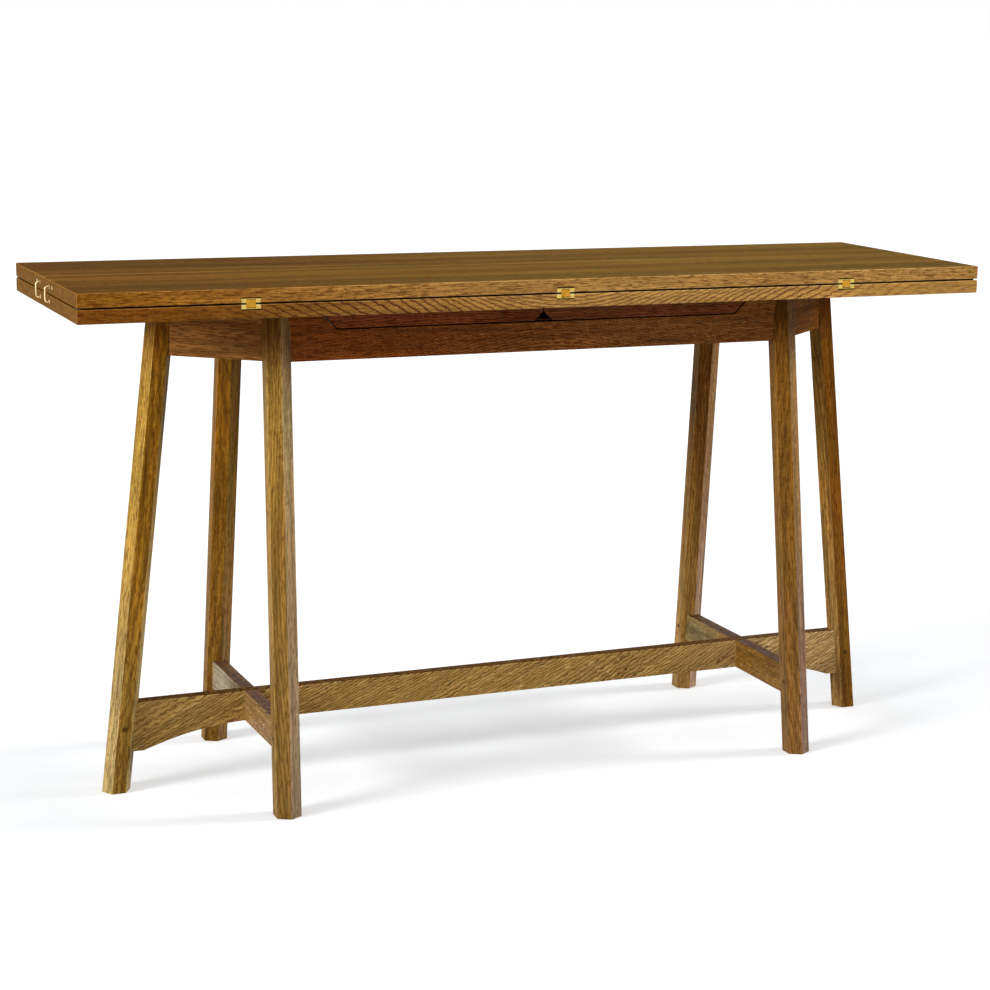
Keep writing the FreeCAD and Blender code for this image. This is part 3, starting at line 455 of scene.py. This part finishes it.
# Each board's edges are painted paler and bluer towards the right end, a painted sheen.
for level, first_seed, edge, paler in (
        ("upper", 51, (0.39, 0.15, 0.0155), (0, -0.75, 0.1, (1.45, 2.0, 5.2))),
        ("lower", 55, (0.24, 0.084, 0.0105), (0, -0.6, 0.15, (2.5, 3.9, 7.5)))):
    for place_in_leaf, (name, shade) in enumerate(
            (("front", 1), ("second", 1.08), ("third", 0.97), ("back", 0.9))):
        board = f"{level}_{name}_board"
        figure = CATHEDRAL_LINES if board == "lower_front_board" else STRAIGHT_LINES
        seam = MIDDLE_SEAM if board in ("upper_second_board", "upper_third_board") else None
        oak(board, lie((1, 0, 0), (0, 0, 1)), first_seed + place_in_leaf, edge,
            fades=[paler], top=shaded(LEAF_FACE, shade), ends=LEAF_END, ray_turn=1.3,
            dash_size=(70, 850), seam=seam, patches=0.15, arris_highlight=(0.03, 0.15, 1.0),
            gloss=0.001, **figure)


# ---- Hinges: plates let into the edges, a link between, screws and pins, all brass ----
# Drawn brass left unlacquered, with a fine lengthways grain from polishing. The link is
# polished less than the plates and has gone a deeper gold.

# A highlight painted on the chamfered edges of the brass.
PAINTED_EDGE_HIGHLIGHT = (0.95, 0.86, 0.55)


def brass(name, colour, roughness, painted_highlight, *nodes):
    """Brass with cloudy darker patches, and a painted highlight of so much on its edges."""
    material, shader, place = finish_of(name)
    scratch = place.grown((60, 1500, 1500), 2.0)
    cloud = place.grown((160, 160, 160), 2.0)
    tone = place.paint(colour).tinted(shaded(colour, 0.62), cloud.between(0.42, 0.7) * 0.7)
    facing = Wire(place.tree, place.socket.node.outputs["Normal"])
    across, inwards, above = (abs(facing.axis(i)) for i in range(3))
    square = across.math("MAXIMUM", across, inwards.math("MAXIMUM", inwards, above))
    tone = tone.tinted(PAINTED_EDGE_HIGHLIGHT, (1 - square).between(0.1, 0.25) * painted_highlight)
    plug(place.tree, shader.inputs["Base Color"], tone)
    plug(place.tree, shader.inputs["Roughness"], scratch * 0.22 + (roughness - 0.1))
    shader.inputs["Metallic"].default_value = 1
    bump = place.node("ShaderNodeBump", Height=scratch, Strength=0.12, Distance=0.0001)
    plug(place.tree, shader.inputs["Normal"], bump)
    dress(material, *nodes)


sides = ("left", "middle", "right")
brass("plate_brass", (0.68, 0.47, 0.11), 0.34, 0.8, "lower_hinge_screws", "upper_hinge_screws",
      "hinge_pins", *[f"{side}_hinge_{level}_plate" for side in sides
                      for level in ("lower", "upper")])
brass("link_brass", (0.55, 0.27, 0.025), 0.4, 0.3, *[f"{side}_hinge_link" for side in sides])


# ---- End clips: bent brass wire that holds the closed leaves together, two at each end ----
# Each turns in two bushes and snaps over a domed button. All are bright brass.

brass("clip_brass", (0.9, 0.7, 0.36), 0.22, 0,
      *[f"{side}_{place}_clip" for side in ("left", "right") for place in ("front", "rear")],
      *[f"{side}_{part}" for side in ("left", "right")
        for part in ("clip_bushes", "rest_buttons", "catch_buttons")])


# ---- Felt pads: four stuck to the lower leaf, to keep the faces apart ----
# Small round discs punched from dark wool felt, one by each corner.

material, shader, place = finish_of("pad_felt")
nap = place.grown((2600, 2600, 2600), 3.0)
felt = place.paint((0.05, 0.035, 0.02))
plug(place.tree, shader.inputs["Base Color"], felt.scaled(nap + 0.5))
shader.inputs["Roughness"].default_value = 0.95
bump = place.node("ShaderNodeBump", Height=nap, Strength=0.6, Distance=0.0003)
plug(place.tree, shader.inputs["Normal"], bump)
dress(material, "gap_pads")


# ---- Floor and light: a pale studio floor and soft light from both sides ----
# To the camera and in reflections the floor is nearly white and keeps the shadows. To
# the table it is a mid grey, so it throws only a plain amount of light back up.



def seen_directly(start):
    """1 to the camera and in reflections, 0 to the light that falls on the table."""
    to_camera, in_reflections = (start.node("ShaderNodeLightPath", out=i) for i in (0, 3))
    return start.math("MAXIMUM", to_camera, in_reflections)


floor_mesh = bpy.data.meshes.new("floor")
reach = 400
floor_mesh.from_pydata(
    [(-reach, -reach, 0), (reach, -reach, 0), (reach, reach, 0), (-reach, reach, 0)],
    [], [(0, 1, 2, 3)])
floor = bpy.data.objects.new("floor", floor_mesh)
bpy.context.scene.collection.objects.link(floor)
floor_finish, mid_grey, start = finish_of("floor")
mid_grey.inputs["Base Color"].default_value = (0.45, 0.45, 0.45, 1)
mid_grey.inputs["Roughness"].default_value = 1
mid_grey.inputs["Specular IOR Level"].default_value = 0
pale = start.node("ShaderNodeBsdfDiffuse", Color=(0.87, 0.9, 0.93))
glow = start.node("ShaderNodeEmission", Color=(1, 1, 1), Strength=0.33)
nearly_white = start.node("ShaderNodeAddShader", _0=pale, _1=glow)
surface = start.node("ShaderNodeMixShader", _0=seen_directly(start),
                     _1=Wire(start.tree, mid_grey.outputs[0]), _2=nearly_white)
plug(start.tree, start.tree.nodes["Material Output"].inputs["Surface"], surface)
floor_mesh.materials.append(floor_finish)

world = bpy.data.worlds.new("world")
bpy.context.scene.world = world
world.use_nodes = True
backdrop = world.node_tree.nodes["Background"]
backdrop.inputs["Color"].default_value = (1, 1, 1, 1)
all_round = Wire(world.node_tree, backdrop.outputs[0])
plug(all_round.tree, backdrop.inputs["Strength"], 0.42 + seen_directly(all_round) * 0.58)


def lamp(name, shines_from, level, spread):
    """Even light from one side. At level 1 a face square to it shows its own colour."""
    light = bpy.data.lights.new(name, "SUN")
    light.energy, light.angle = level * math.pi, math.radians(spread)
    thing = bpy.data.objects.new(name, light)
    bpy.context.scene.collection.objects.link(thing)
    thing.matrix_world = Vector(shines_from).to_track_quat("Z", "Y").to_matrix().to_4x4()


lamp("left_side", (-0.95, -0.2, 0.3), 1.0, 22)
lamp("right_side", (0.95, -0.16, 0.3), 0.7, 15)
